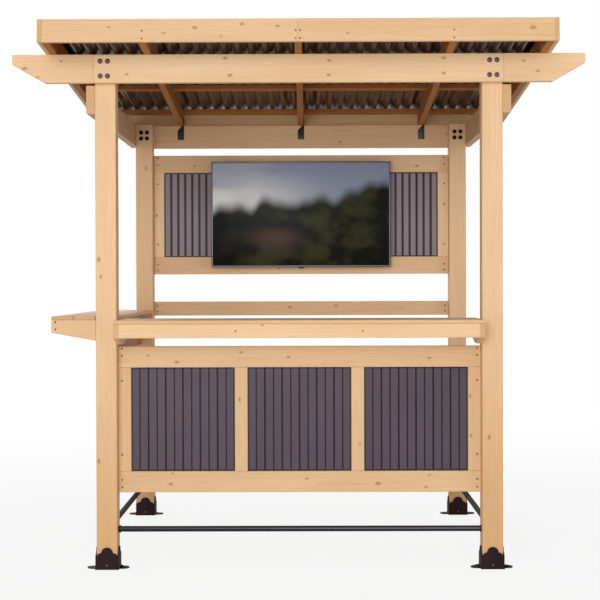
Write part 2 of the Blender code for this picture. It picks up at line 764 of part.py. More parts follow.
def make_television():
    """A flat screen hung on the panel's two rails by a pair of upright hangers."""
    rails_face = POST_BACK - PANEL_SETBACK - PANEL_THICKNESS
    back = rails_face - GAP - SCREEN_STANDOFF
    front = back - SCREEN_THICKNESS
    half = SCREEN_WIDTH / 2
    bottom = (SCREEN_PANEL_BOTTOM + SCREEN_PANEL_TOP - SCREEN_HEIGHT) / 2
    top = bottom + SCREEN_HEIGHT
    body = box((-half, front, bottom), (half, back, top))
    ease_edges(body, BOARD_EDGE, segments=2)
    glass = box(
        (-half + SCREEN_BEZEL, front - SCREEN_RECESS, bottom + SCREEN_BEZEL),
        (half - SCREEN_BEZEL, front + SCREEN_RECESS, top - SCREEN_BEZEL),
    )
    cut(body, glass)
    hanger_bottom = SCREEN_PANEL_BOTTOM + PANEL_RAIL - HANGER_LAP
    hanger_top = SCREEN_PANEL_TOP - PANEL_RAIL + HANGER_LAP
    for side in (-1, 1):
        middle = side * HANGER_SPACING / 2
        hanger = box(
            (middle - HANGER_WIDTH / 2, back - SCREEN_THICKNESS / 2, hanger_bottom),
            (middle + HANGER_WIDTH / 2, rails_face - GAP, hanger_top),
        )
        cut(body, hanger, "UNION")
    add_part(body, "television", "dark_screen")


def foot_rail_profile(length):
    """Half the section of a foot rail: a round tube with a wider socket at each end."""
    half = length / 2
    return [
        (0, half),
        (SOCKET_RADIUS, half),
        (SOCKET_RADIUS, half - SOCKET_LENGTH),
        (FOOT_RAIL_RADIUS, half - SOCKET_LENGTH),
        (FOOT_RAIL_RADIUS, SOCKET_LENGTH - half),
        (SOCKET_RADIUS, SOCKET_LENGTH - half),
        (SOCKET_RADIUS, -half),
        (0, -half),
    ]


def make_foot_rails():
    """Round steel foot rails between the front posts and along both sides."""
    across = 2 * (POST_INNER - GAP)
    along = POST_SPACING_Y - POST_SIZE - 2 * GAP
    middle_y = (POST_FRONT + POST_BACK) / 2
    front_y = POST_FRONT + POST_SIZE / 2
    rails = (
        ("front", across, (0, front_y), (0, math.radians(90), 0)),
        ("left", along, (-POST_SPACING_X / 2, middle_y), (math.radians(90), 0, 0)),
        ("right", along, (POST_SPACING_X / 2, middle_y), (math.radians(90), 0, 0)),
    )
    for name, length, (x, y), turn in rails:
        rail = turned(foot_rail_profile(length), ROUND_STEPS)
        rail.rotation_euler = turn
        rail.location = (x, y, FOOT_RAIL_HEIGHT)
        add_part(rail, f"{name}_foot_rail", "black_steel")


make_posts()
make_boots()
make_beams()
make_rafters()
make_roof_edges()
make_roof_sheet()
make_ties()
make_panels()
make_bar_counter()
make_side_counter()
make_television()
make_foot_rails()
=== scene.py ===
"""Looks of the bar gazebo: cedar posts and boards, a corrugated roof, ribbed panels and black steel.

Metres, +Z up, the bar faces -Y. Sections follow the gazebo as it is put together, from the ground up.
"""

import math
import random

import bpy
from mathutils import Matrix, Vector


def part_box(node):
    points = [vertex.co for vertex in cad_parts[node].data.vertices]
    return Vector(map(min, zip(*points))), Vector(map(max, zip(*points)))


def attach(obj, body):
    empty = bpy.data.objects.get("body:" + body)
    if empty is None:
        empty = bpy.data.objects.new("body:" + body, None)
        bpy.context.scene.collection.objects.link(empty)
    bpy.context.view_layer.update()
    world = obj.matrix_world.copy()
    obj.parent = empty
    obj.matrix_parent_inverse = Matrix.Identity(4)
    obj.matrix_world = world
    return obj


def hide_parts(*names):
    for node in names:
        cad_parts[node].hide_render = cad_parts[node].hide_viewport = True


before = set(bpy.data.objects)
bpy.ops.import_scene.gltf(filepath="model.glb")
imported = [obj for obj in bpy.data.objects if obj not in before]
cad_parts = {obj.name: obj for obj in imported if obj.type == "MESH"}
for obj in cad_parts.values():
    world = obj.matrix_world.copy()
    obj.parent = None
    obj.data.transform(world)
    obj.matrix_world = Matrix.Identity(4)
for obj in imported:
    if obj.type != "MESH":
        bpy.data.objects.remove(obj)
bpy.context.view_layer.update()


# Studio: a pale floor, a white surround, one broad soft light above the bar and two weak fills.
# The camera stands eight metres off at eye height with a long lens, as for a catalogue picture.

CAMERA_PLACE = (0.051, -8.035, 1.379)
CAMERA_YAW = math.radians(-0.369)
CAMERA_PITCH = math.radians(-0.650)
CAMERA_ROLL = math.radians(-0.162)
CAMERA_LENS = 90.39
FLOOR_SIDE = 60.0
SHADOWS_WITHIN = 1.5
WHITE_BEYOND = 7.0
FLOOR_GLOW = 0.85
SURROUND_LIGHT = 0.44


def linear(hex_colour):
    """A colour written as sRGB hex, turned to the linear values that a shader takes."""
    channels = [int(hex_colour[start : start + 2], 16) / 255 for start in (1, 3, 5)]
    return [c / 12.92 if c <= 0.04045 else ((c + 0.055) / 1.055) ** 2.4 for c in channels] + [1.0]


def add_node(tree, kind, inputs=None, **settings):
    """Adds a node: settings are its properties, inputs are values or links from other sockets."""
    made = tree.nodes.new("ShaderNode" + kind)
    for name, value in settings.items():
        setattr(made, name, value)
    for name, value in (inputs or {}).items():
        if isinstance(value, bpy.types.NodeSocket):
            tree.links.new(value, made.inputs[name])
        else:
            made.inputs[name].default_value = value
    return made


def calc(tree, operation, *values):
    """A number worked out from numbers or links."""
    return add_node(tree, "Math", dict(enumerate(values)), operation=operation).outputs[0]


def calc_vector(tree, operation, *values):
    """A vector worked out from vectors or links, or a number where the operation gives one."""
    outputs = add_node(tree, "VectorMath", dict(enumerate(values)), operation=operation).outputs
    return outputs["Value"] if operation in ("LENGTH", "DISTANCE", "DOT_PRODUCT") else outputs[0]


def ramp(tree, value, start, end, low=0.0, high=1.0, curve="LINEAR"):
    """A number that runs from low to high while the value runs from start to end, held beyond."""
    return add_node(
        tree, "MapRange",
        {"Value": value, "From Min": start, "From Max": end, "To Min": low, "To Max": high},
        interpolation_type=curve,
    ).outputs[0]


def blend(tree, share, first, second):
    """Two colours, as hex, values or links, mixed by the share of the second."""
    first, second = (linear(it) if isinstance(it, str) else it for it in (first, second))
    return add_node(tree, "MixRGB", {0: share, 1: first, 2: second}).outputs[0]


def noise(tree, place, count, detail):
    """Noise with about so many patches in a unit of its place, the same all ways."""
    return add_node(tree, "TexNoise", {"Vector": place, "Scale": count, "Detail": detail}).outputs[0]


def drawn_noise(tree, place, counts, detail):
    """Noise with a count of patches of its own along each axis."""
    return noise(tree, calc_vector(tree, "MULTIPLY", place, counts), 1.0, detail)


def new_material(name, **values):
    """A material with one Principled shader; values set the shader's own sockets."""
    material = bpy.data.materials.new(name)
    material.use_nodes = True
    shader = material.node_tree.nodes["Principled BSDF"]
    for socket, value in values.items():
        shader.inputs[socket.replace("_", " ")].default_value = value
    return material, material.node_tree, shader


def soft_light(name, place, aim, side, power):
    """A square area light aimed at a point."""
    data = bpy.data.lights.new(name, "AREA")
    data.shape = "SQUARE"
    data.size = side
    data.energy = power
    light = bpy.data.objects.new(name, data)
    light.location = place
    light.rotation_euler = (Vector(aim) - Vector(place)).to_track_quat("-Z", "Y").to_euler()
    bpy.context.scene.collection.objects.link(light)


camera_data = bpy.data.cameras.new("camera")
camera_data.lens = CAMERA_LENS
camera_data.sensor_width = 36.0
camera = bpy.data.objects.new("camera", camera_data)
camera.matrix_world = (
    Matrix.Translation(CAMERA_PLACE)
    @ Matrix.Rotation(-CAMERA_YAW, 4, "Z")
    @ Matrix.Rotation(math.radians(90) + CAMERA_PITCH, 4, "X")
    @ Matrix.Rotation(CAMERA_ROLL, 4, "Z")
)
bpy.context.scene.collection.objects.link(camera)
bpy.context.scene.camera = camera
bpy.context.scene.view_settings.view_transform = "Standard"

bpy.ops.object.select_all(action="DESELECT")
bpy.ops.mesh.primitive_plane_add(size=FLOOR_SIDE, location=(0, 0, 0))
floor = bpy.context.active_object
floor.name = "studio_floor"
floor_material, tree, shader = new_material("pale_floor", Roughness=0.9)
shader.inputs["Base Color"].default_value = linear("#E6E6E6")
rays = add_node(tree, "LightPath").outputs
away = calc_vector(tree, "LENGTH", add_node(tree, "TexCoord").outputs["Object"])
fade = ramp(tree, away, SHADOWS_WITHIN, WHITE_BEYOND, FLOOR_GLOW, 1.0, "SMOOTHSTEP")
whiteness = calc(tree, "MULTIPLY", fade, rays["Is Camera Ray"])
white = add_node(tree, "Emission", {"Color": linear("#FFFFFF"), "Strength": 1.0})
shown = add_node(tree, "MixShader", {0: whiteness, 1: shader.outputs[0], 2: white.outputs[0]})
tree.links.new(shown.outputs[0], tree.nodes["Material Output"].inputs["Surface"])
floor.data.materials.append(floor_material)

world = bpy.data.worlds.new("studio_surround")
bpy.context.scene.world = world
world.use_nodes = True
tree = world.node_tree
surround = tree.nodes["Background"]
surround.inputs["Color"].default_value = linear("#FFFFFF")
rays = add_node(tree, "LightPath").outputs
seen = calc(tree, "MAXIMUM", rays["Is Camera Ray"], rays["Is Glossy Ray"])
seen = calc(tree, "MAXIMUM", seen, rays["Is Transmission Ray"])
tree.links.new(ramp(tree, seen, 0.0, 1.0, SURROUND_LIGHT), surround.inputs["Strength"])

soft_light("key_light", (-2.2, -12.5, 3.2), (0, 0, 1.3), 6.0, 700)
soft_light("right_fill", (6.5, -4.5, 2.6), (0, 0, 1.2), 3.5, 60)
soft_light("back_fill", (-2.5, 8.0, 4.5), (0, 0, 1.2), 4.5, 160)


# Posts: four square posts of solid cedar, planed and lightly stained, corners eased.
# Cedar is pale straw with honey latewood lines, small brown knots and a dull sheen.

CEDAR_EARLY = "#F0CA9C"
CEDAR_LATE = "#D9A368"
CEDAR_HONEY = "#E9BF8F"
CEDAR_END = "#C8935B"
KNOT_CORE = "#AF7C4E"
KNOT_RIM = "#8C5936"
# Rings and fibre are drawn coarser than in real cedar, so that they show: rings 6.5 mm apart, fibre
# 5 mm across and 200 mm long. Counts to the metre run along the board and then across it.
RING_SPACING = 0.0065
FIBRES = (5, 210, 210)
HEARTWOOD_PATCHES = (1.3, 9, 9)
WANDERS = (0.9, 5.0, 5.0)
PITH_WANDER = 0.045
KNOT_SWELL = 0.009
KNOT_SQUEEZE = 0.6
KNOT_SHARE = 0.70
HALO_SHARE = 0.28
RING_SHARPNESS = 2.6
WEAKEST_RING = 0.25
LATE_SHARE = 0.42
END_SHARE = 0.55
GRAIN_DEPTH = 0.0006
POST_FOOT_SHADE = 0.70
FOOT_SHADE_FADE = (-1.2, 0.1)
UP = Vector((0, 0, 1))
RIGHT = Vector((1, 0, 0))
BACK = Vector((0, 1, 0))


def cedar(name, middle, along, across, rng, tone=0.0, knots=(), edge_knots=(), foot=0.0):
    """Planed cedar cut from a trunk: growth rings round a pith line beside the board.

    Knots are (place along, place across, radius) from the board's middle; edge knots lie on its
    narrow faces. tone makes the board darker and redder, on some boards as painted shade; foot
    deepens it towards its lower end as painted shade.
    """
    material, tree, shader = new_material("cedar_" + name, Roughness=0.58)
    through = along.cross(across)
    turn = Matrix((along, across, through))
    place = turn @ Vector(middle)
    coords = add_node(tree, "TexCoord")
    board = add_node(
        tree, "Mapping",
        {"Vector": coords.outputs["Object"], "Location": -place, "Rotation": turn.to_euler()},
    ).outputs[0]
    pith = (rng.uniform(0, 9), rng.uniform(-0.045, 0.045), rng.choice((-1, 1)) * rng.uniform(0.05, 0.12))
    trunk = calc_vector(tree, "ADD", board, pith)

    # Slow wander of the pith, which draws out the rings into long flames on the flat faces
    wander = drawn_noise(tree, trunk, WANDERS, 2.0)
    radius = calc_vector(tree, "LENGTH", calc_vector(tree, "MULTIPLY", trunk, (0, 1, 1)))
    wandered = calc(tree, "MULTIPLY_ADD", wander, PITH_WANDER, radius)

    # Distance to the closest knot, in knot radii, with each knot drawn out along the board
    nearest = None
    for group, flatten in ((knots, (KNOT_SQUEEZE, 1, 0)), (edge_knots, (KNOT_SQUEEZE, 0, 1))):
        if not group:
            continue
        flat = calc_vector(tree, "MULTIPLY", board, flatten)
        for along_board, over_board, size in group:
            centre = (along_board * KNOT_SQUEEZE, over_board * flatten[1], over_board * flatten[2])
            reach = calc(tree, "DIVIDE", calc_vector(tree, "DISTANCE", flat, centre), size)
            nearest = reach if nearest is None else calc(tree, "MINIMUM", nearest, reach)
    if nearest is not None:
        swell = ramp(tree, nearest, 0.0, 3.0, KNOT_SWELL, 0.0, "SMOOTHERSTEP")
        wandered = calc(tree, "ADD", wandered, swell)

    # Rings: each darkens slowly outwards to its latewood line and then starts pale again
    phase = calc(tree, "DIVIDE", wandered, RING_SPACING)
    late = calc(tree, "POWER", calc(tree, "FRACT", phase), RING_SHARPNESS)
    ring = calc(tree, "FLOOR", phase)
    vigour = add_node(tree, "TexWhiteNoise", {"W": ring}, noise_dimensions="1D").outputs["Value"]
    late = calc(tree, "MULTIPLY", late, ramp(tree, vigour, 0.0, 1.0, WEAKEST_RING))

    # Fibre in fine streaks, and patches of honey-coloured heartwood 110 mm across and 770 mm long
    fibre = drawn_noise(tree, trunk, FIBRES, 3.0)
    patch = ramp(tree, drawn_noise(tree, trunk, HEARTWOOD_PATCHES, 3.0), 0.35, 0.72)
    colour = blend(tree, patch, CEDAR_EARLY, CEDAR_HONEY)
    colour = blend(tree, calc(tree, "MULTIPLY", late, LATE_SHARE), colour, CEDAR_LATE)
    # Painted shade: darker towards the board's lower end, for less light low down
    if foot:
        height = add_node(tree, "SeparateXYZ", {0: board}).outputs[0]
        fade = ramp(tree, height, *FOOT_SHADE_FADE, 1.0, 0.0, "SMOOTHSTEP")
        colour = blend(tree, calc(tree, "MULTIPLY", fade, foot), colour, CEDAR_LATE)
    streak = ramp(tree, fibre, 0.3, 0.7, 0.95, 1.03)
    colour = add_node(tree, "VectorMath", {0: colour, "Scale": streak}, operation="SCALE").outputs[0]
    colour = calc_vector(tree, "MULTIPLY", colour, (1 - tone, 1 - 1.5 * tone, 1 - 1.9 * tone))

    # Knots: a soft brown core in a darker rim, with a reddish halo
    if nearest is not None:
        knot_colour = blend(tree, ramp(tree, nearest, 0.45, 0.85), KNOT_CORE, KNOT_RIM)
        share = ramp(tree, nearest, 0.75, 1.35, KNOT_SHARE, 0.0, "SMOOTHSTEP")
        halo = ramp(tree, nearest, 0.9, 2.6, HALO_SHARE, 0.0, "SMOOTHSTEP")
        colour = blend(tree, share, blend(tree, halo, colour, CEDAR_END), knot_colour)

    # End grain drinks more stain, so the sawn ends are darker
    end = calc_vector(tree, "DOT_PRODUCT", coords.outputs["Normal"], along)
    end = ramp(tree, calc(tree, "ABSOLUTE", end), 0.75, 0.95, 0.0, END_SHARE)
    tree.links.new(blend(tree, end, colour, CEDAR_END), shader.inputs["Base Color"])

    # Latewood is denser, so it shines a little more and stands proud
    tree.links.new(ramp(tree, late, 0.0, 1.0, 0.62, 0.50), shader.inputs["Roughness"])
    relief = calc(tree, "MULTIPLY_ADD", fibre, 0.5, late)
    bump = add_node(tree, "Bump", {"Height": relief, "Strength": 0.25, "Distance": GRAIN_DEPTH})
    tree.links.new(bump.outputs[0], shader.inputs["Normal"])
    return material


def scattered_knots(rng, length, width, per_metre):
    """Knots at random over one face of a board: (place along, place across, radius)."""
    return [
        (
            rng.uniform(-0.47, 0.47) * length,
            rng.uniform(-0.38, 0.38) * width,
            rng.uniform(0.0035, 0.0060),
        )
        for _ in range(round(length * per_metre))
    ]


def narrow_knots(rng, length, depth):
    """Knots on a board's narrow faces, kept near their middle and small for the board's depth."""
    return [
        (
            rng.uniform(-0.45, 0.45) * length,
            rng.uniform(-0.08, 0.08) * depth,
            min(rng.uniform(0.09, 0.13) * depth, 0.006),
        )
        for _ in range(round(length * 0.8))
    ]


def cover(node, material):
    """Gives a frame piece its material."""
    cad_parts[node].material_slots[0].material = material


def timber(node, along, across, tone=0.0, knots=None, knots_per_metre=1.2, foot=0.0):
    """Gives one of the frame's boards its own cut of cedar."""
    low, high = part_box(node)
    rng = random.Random(node)
    size = high - low
    through = along.cross(across)
    length = abs(size.dot(Vector(map(abs, along))))
    width = abs(size.dot(Vector(map(abs, across))))
    depth = abs(size.dot(Vector(map(abs, through))))
    if knots is None:
        knots = scattered_knots(rng, length, width, knots_per_metre)
    cover(node, cedar(
        node, (low + high) / 2, along, across, rng, tone + rng.uniform(-0.01, 0.02),
        knots, narrow_knots(rng, length, depth), foot,
    ))


# The posts are painted darker towards their feet: painted shade for less light low down.
timber("front_left_post", UP, RIGHT, foot=POST_FOOT_SHADE, knots=[
    (0.256, -0.034, 0.0060), (0.172, -0.025, 0.0045), (-0.716, -0.038, 0.0055),
])
timber("front_right_post", UP, RIGHT, foot=POST_FOOT_SHADE, knots=[(-0.605, -0.017, 0.0060)])
timber("back_left_post", UP, RIGHT, foot=POST_FOOT_SHADE, knots=[(0.898, 0.011, 0.0055)])
timber("back_right_post", UP, RIGHT, foot=POST_FOOT_SHADE, knots_per_metre=0.5)


# Boots: steel post shoes, welded from plate and sheet, powder-coated black with a brown cast.
# Each hugs its post in a sleeve with ogee-cut walls, is screwed to it near the foot and has an
# ear at each side for a ground bolt.

SHOE_EDGE = 0.0012
SHOE_SCREW_HEIGHT = 0.021
SCREW_RADIUS = 0.0046
SCREW_PROUD = 0.0007
SCREW_SOCKET = 0.0016
FACET_MERGE = 0.00001
# Counts to the metre: mottle in 45 mm patches, and a peel of 1.1 mm, coarser than real to show
MOTTLES = 22.0
PEELS = 900.0
PEEL_DEPTH = 0.0002


def coated(name, dusky, pale, roughness, gloss, metallic=0.0):
    """A coated or moulded surface: two close shades in soft patches under a fine orange peel."""
    material, tree, shader = new_material(
        name, Roughness=roughness, Specular_IOR_Level=gloss, Metallic=metallic
    )
    place = add_node(tree, "TexCoord").outputs["Object"]
    colour = blend(tree, noise(tree, place, MOTTLES, 3.0), dusky, pale)
    tree.links.new(colour, shader.inputs["Base Color"])
    peel = noise(tree, place, PEELS, 2.0)
    bump = add_node(tree, "Bump", {"Height": peel, "Strength": 0.25, "Distance": PEEL_DEPTH})
    tree.links.new(bump.outputs[0], shader.inputs["Normal"])
    return material


# Powder coat is matt and hides the steel: a brown-black with hardly a highlight. Stoved enamel on
# screws and hangers is a deeper black. The shoes' screws are a pale zinc grey, which is also a
# painted highlight for the light their heads catch, so each shows as a small pale dot.
SHOE_STEEL = coated("brown_black_powder_coat", "#251619", "#332124", 0.50, 0.06)
BLACK_STEEL = coated("satin_black_enamel", "#120C0E", "#1D1619", 0.45, 0.06)
shoe_screw_highlight = coated("zinc_screw_painted_highlight", "#5C575A", "#6F6A6D", 0.45, 0.30)


def start_piece(add, scale=(1, 1, 1), **settings):
    """Adds a primitive at its size and place, with nothing else selected, and hands it back."""
    bpy.ops.object.select_all(action="DESELECT")
    add(**settings)
    piece = bpy.context.active_object
    piece.scale = scale
    bpy.ops.object.transform_apply(location=False, rotation=True, scale=True)
    return piece


def pick(piece, kind, wanted):
    """Opens a piece in edit mode with only the faces, edges or vertices that wanted() takes."""
    bpy.ops.object.mode_set(mode="EDIT")
    bpy.ops.mesh.select_mode(type=kind)
    bpy.ops.mesh.select_all(action="DESELECT")
    bpy.ops.object.mode_set(mode="OBJECT")
    mesh = piece.data
    items = {"FACE": mesh.polygons, "EDGE": mesh.edges, "VERT": mesh.vertices}[kind]
    for item in items:
        item.select = wanted(item)
    bpy.ops.object.mode_set(mode="EDIT")


def close_edit():
    """Leaves edit mode."""
    bpy.ops.object.mode_set(mode="OBJECT")


def finish_piece(piece, name, material, smooth_angle=30):
    """Applies what is left on a piece, shades it, gives it its finish and lets it ride."""
    bpy.ops.object.select_all(action="DESELECT")
    piece.select_set(True)
    bpy.context.view_layer.objects.active = piece
    for modifier in list(piece.modifiers):
        bpy.ops.object.modifier_apply(modifier=modifier.name)
    bpy.ops.object.transform_apply(location=True, rotation=True, scale=True)
    bpy.ops.object.shade_smooth_by_angle(angle=math.radians(smooth_angle))
    piece.name = name
    piece.data.name = name
    piece.data.materials.clear()
    piece.data.materials.append(material)
    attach(piece, "root")
    return piece


def ease_edges(piece, width, segments=2, sharper_than=30):
    """Rounds the edges of a piece that turn by more than an angle in degrees."""
    bevel = piece.modifiers.new("eased", "BEVEL")
    bevel.width = width
    bevel.segments = segments
    bevel.limit_method = "ANGLE"
    bevel.angle_limit = math.radians(sharper_than)


def eased_copy(node, name, material, width):
    """A copy of a frame piece with its facets merged, its flats dissolved and its edges rounded."""
    bpy.ops.object.select_all(action="DESELECT")
    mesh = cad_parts[node].data.copy()
    piece = bpy.data.objects.new(name, mesh)
    bpy.context.scene.collection.objects.link(piece)
    piece.select_set(True)
    bpy.context.view_layer.objects.active = piece
    pick(piece, "FACE", lambda face: True)
    bpy.ops.mesh.remove_doubles(threshold=FACET_MERGE)
    bpy.ops.mesh.dissolve_limited(angle_limit=math.radians(1))
    close_edit()
    ease_edges(piece, width, sharper_than=40)
    finish_piece(piece, name, material)
    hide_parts(node)


def keep_model(piece):
    """Takes a modelled fitting out of the scene and keeps its mesh for copying."""
    bpy.ops.object.transform_apply(location=True, rotation=True, scale=True)
    mesh = piece.data
    bpy.data.objects.remove(piece)
    return mesh


def set_out(mesh, name, spots, material):
    """Sets copies of a fitting out at (place, outward direction) spots, joined as one piece."""
    bpy.ops.object.select_all(action="DESELECT")
    for place, outward in spots:
        copy = bpy.data.objects.new(name, mesh.copy())
        turn = Vector(outward).to_track_quat("Z", "Y").to_matrix().to_4x4()
        copy.matrix_world = Matrix.Translation(place) @ turn
        bpy.context.scene.collection.objects.link(copy)
        copy.select_set(True)
    bpy.context.view_layer.objects.active = copy
    bpy.ops.object.join()
    return finish_piece(copy, name, material)


def capped_disc(sides, radius, depth, foot, rounding, segments=2):
    """A disc from the height foot up, with the edge of its upper face rounded over."""
    disc = start_piece(
        bpy.ops.mesh.primitive_cylinder_add,
        vertices=sides, radius=radius, depth=depth, location=(0, 0, foot + depth / 2),
    )
    pick(disc, "FACE", lambda face: face.normal.z > 0.5)
    bpy.ops.mesh.bevel(offset=rounding, segments=segments)
    close_edit()
    return disc


def screw_model():
    """A countersunk screw head with a hollow for the driver, set half into its seat at Z = 0."""
    head = capped_disc(16, SCREW_RADIUS, 2 * SCREW_PROUD, -SCREW_PROUD, SCREW_PROUD / 2)
    pick(head, "FACE", lambda face: face.normal.z > 0.99)
    bpy.ops.mesh.inset(thickness=SCREW_RADIUS / 2)
    bpy.ops.mesh.extrude_region_move(TRANSFORM_OT_translate={"value": (0, 0, -SCREW_SOCKET)})
    close_edit()
    return keep_model(head)


SCREW = screw_model()

shoe_screws = []
for corner in ("front_left", "front_right", "back_left", "back_right"):
    eased_copy(corner + "_boot", corner + "_shoe", SHOE_STEEL, SHOE_EDGE)
    low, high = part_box(corner + "_boot")
    post_low, post_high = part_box(corner + "_post")
    middle = (post_low + post_high) / 2
    sleeve = (high.y - low.y) / 2
    for side in (-1, 1):
        face = middle.y + side * sleeve
        shoe_screws.append(((middle.x, face, SHOE_SCREW_HEIGHT), (0, side, 0)))
set_out(SCREW, "shoe_screws", shoe_screws, shoe_screw_highlight)


# Beams: sawn cedar, bolted to the posts' faces. The front beam carries a tapered tail butted to
# each end, the side beams run front to back, and the back beam is bolted low behind the posts.
# The bolts are black timber bolts with a broad washer and a domed head, four at each post.

WASHER_RADIUS = 0.0125
BOLT_WASHER = 0.0022
DOME_RADIUS = 0.0092
DOME_HEIGHT = 0.0052
BOLT_ACROSS = 0.0175
BOLT_UP_FRONT = 0.0355
BOLT_UP_BACK = 0.0175

# Oiled oxide on the bolts is plum-brown; the bolts at the back get a copy painted nearly black,
# painted shade for the shade they sit in
bolt_steel = coated("oiled_oxide_steel", "#5C3F44", "#735156", 0.30, 0.40)
shade_painted_bolt_steel = coated("oxide_steel_painted_shade", "#241713", "#34221D", 0.45, 0.15)

timber("front_beam", RIGHT, UP, tone=-0.03, knots=[
    (-0.349, 0.049, 0.0055), (-0.327, -0.034, 0.0055), (-0.819, -0.027, 0.0040),
    (0.147, 0.035, 0.0050), (0.144, -0.034, 0.0045), (0.692, 0.046, 0.0050), (0.692, -0.027, 0.0050),
])
timber("front_beam_left_tail", RIGHT, UP, knots=[
    (0.042, 0.036, 0.0040), (-0.134, 0.002, 0.0060), (-0.072, -0.040, 0.0035),
])
timber("front_beam_right_tail", RIGHT, UP, knots=[(-0.100, 0.031, 0.0040), (-0.033, -0.018, 0.0045)])
timber("left_side_beam", BACK, UP, tone=0.05)
timber("right_side_beam", BACK, UP, tone=0.05)
timber("back_beam", RIGHT, UP, tone=0.01)


def bolt_model():
    """A timber bolt's washer and domed head, its back face on Z = 0."""
    dome = start_piece(
        bpy.ops.mesh.primitive_uv_sphere_add,
        scale=(DOME_RADIUS, DOME_RADIUS, DOME_HEIGHT),
        segments=24, ring_count=16, radius=1.0, location=(0, 0, BOLT_WASHER / 2),
    )
    pick(dome, "FACE", lambda face: True)
    bpy.ops.mesh.bisect(
        plane_co=(0, 0, BOLT_WASHER / 2), plane_no=(0, 0, 1), use_fill=True, clear_inner=True
    )
    close_edit()
    washer = capped_disc(24, WASHER_RADIUS, BOLT_WASHER, 0, BOLT_WASHER * 0.4)
    dome.select_set(True)
    bpy.ops.object.join()
    return keep_model(washer)


BOLT = bolt_model()


def four_bolts(post, face, outward, middle_z, up):
    """Spots for four bolts on a face over a post, up above and below the height middle_z."""
    low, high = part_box(post)
    middle = (low + high) / 2
    spots = []
    for across in (-BOLT_ACROSS, BOLT_ACROSS):
        for rise in (-up, up):
            if outward[0]:
                spots.append(((face, middle.y + across, middle_z + rise), outward))
            else:
                spots.append(((middle.x + across, face, middle_z + rise), outward))
    return spots


front_low, front_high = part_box("front_beam")
back_low, back_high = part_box("back_beam")
front_bolts = []
back_bolts = []
for side in ("left", "right"):
    front_bolts += four_bolts(
        f"front_{side}_post", front_low.y, (0, -1, 0), (front_low.z + front_high.z) / 2, BOLT_UP_FRONT
    )
    back_middle = (back_low.z + back_high.z) / 2
    post_low, post_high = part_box(f"back_{side}_post")
    back_bolts += four_bolts(f"back_{side}_post", post_low.y, (0, -1, 0), back_middle, BOLT_UP_BACK)
    back_bolts += four_bolts(f"back_{side}_post", back_high.y, (0, 1, 0), back_middle, BOLT_UP_BACK)
side_bolts = []
for side, outward in (("left", -1), ("right", 1)):
    low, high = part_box(f"{side}_side_beam")
    face = low.x if outward < 0 else high.x
    for row in ("front", "back"):
        side_bolts += four_bolts(
            f"{row}_{side}_post", face, (outward, 0, 0), (low.z + high.z) / 2, BOLT_UP_FRONT
        )
set_out(BOLT, "front_beam_bolts", front_bolts, bolt_steel)
set_out(BOLT, "back_beam_bolts", back_bolts, shade_painted_bolt_steel)
set_out(BOLT, "side_beam_bolts", side_bolts, bolt_steel)


# Rafters and battens: five pitched rafters notched over the beams, and three battens let into
# them to carry the roof sheet. They are the same cedar, painted darker and redder as painted shade
# for the shade they sit in under the roof.

PITCH = math.atan2(front_high.z - back_high.z, back_low.y - front_low.y)
DOWN_SLOPE = Vector((0, math.cos(PITCH), -math.sin(PITCH)))
OFF_SLOPE = Vector((0, math.sin(PITCH), math.cos(PITCH)))
UNDER_ROOF_SHADE = 0.49

for rafter in ("left_edge", "left", "middle", "right", "right_edge"):
    timber(rafter + "_rafter", DOWN_SLOPE, OFF_SLOPE, tone=UNDER_ROOF_SHADE)
for number in (1, 2, 3):
    timber(f"roof_batten_{number}", RIGHT, DOWN_SLOPE, tone=UNDER_ROOF_SHADE)


# Fascia and barge boards: planed cedar nailed over the rafters' ends, two lengths at the front,
# and a barge board down each side. They hide the rafters and the roof sheet's edge.

NAIL_RADIUS = 0.0042
NAIL_PROUD = 0.0008
NAIL_FROM_JOINT = 0.010
NAIL_FROM_MIDDLE = 0.720
NAILS_UP = (0.015, 0.052)
FASCIA_TONE = 0.07

timber("front_fascia_left", RIGHT, OFF_SLOPE, tone=FASCIA_TONE, knots=[
    (-0.280, 0.016, 0.0035), (-0.027, -0.012, 0.0035), (0.116, 0.012, 0.0060),
    (0.335, 0.028, 0.0050), (0.498, 0.019, 0.0050), (0.237, -0.030, 0.0030),
])
timber("front_fascia_right", RIGHT, OFF_SLOPE, tone=FASCIA_TONE, knots=[
    (-0.364, -0.016, 0.0035), (0.490, 0.007, 0.0070),
])
# The back fascia is painted a little darker and redder: painted shade for its place at the back.
timber("back_fascia", RIGHT, OFF_SLOPE, tone=0.04)
timber("left_barge_board", DOWN_SLOPE, OFF_SLOPE, tone=0.06)
timber("right_barge_board", DOWN_SLOPE, OFF_SLOPE, tone=0.06)

# The nails were stained over with the boards, so their heads read as small brown dots
nail_steel = coated("stained_nail_steel", "#62401F", "#744C30", 0.50, 0.30)
NAIL = keep_model(capped_disc(16, NAIL_RADIUS, NAIL_PROUD, 0, NAIL_PROUD * 0.6))

fascia_low, fascia_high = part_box("front_fascia_left")
fascia_size = fascia_high - fascia_low
fascia_depth = (
    fascia_size.z * math.cos(PITCH) - fascia_size.y * math.sin(PITCH)
) / math.cos(2 * PITCH)
fascia_foot = fascia_high.z - fascia_depth * math.cos(PITCH)
fascia_nails = []
for across in (-NAIL_FROM_MIDDLE, -NAIL_FROM_JOINT, NAIL_FROM_JOINT, NAIL_FROM_MIDDLE):
    for up in NAILS_UP:
        place = Vector((across, fascia_low.y, fascia_foot)) + OFF_SLOPE * up
        fascia_nails.append((place, -DOWN_SLOPE))
set_out(NAIL, "fascia_nails", fascia_nails, nail_steel)


# Roof sheet: corrugated sheet steel, coated dark brown on both sides. It lies in its waves down
# the slope and is screwed to the battens through every third crest, with a washer at each screw.

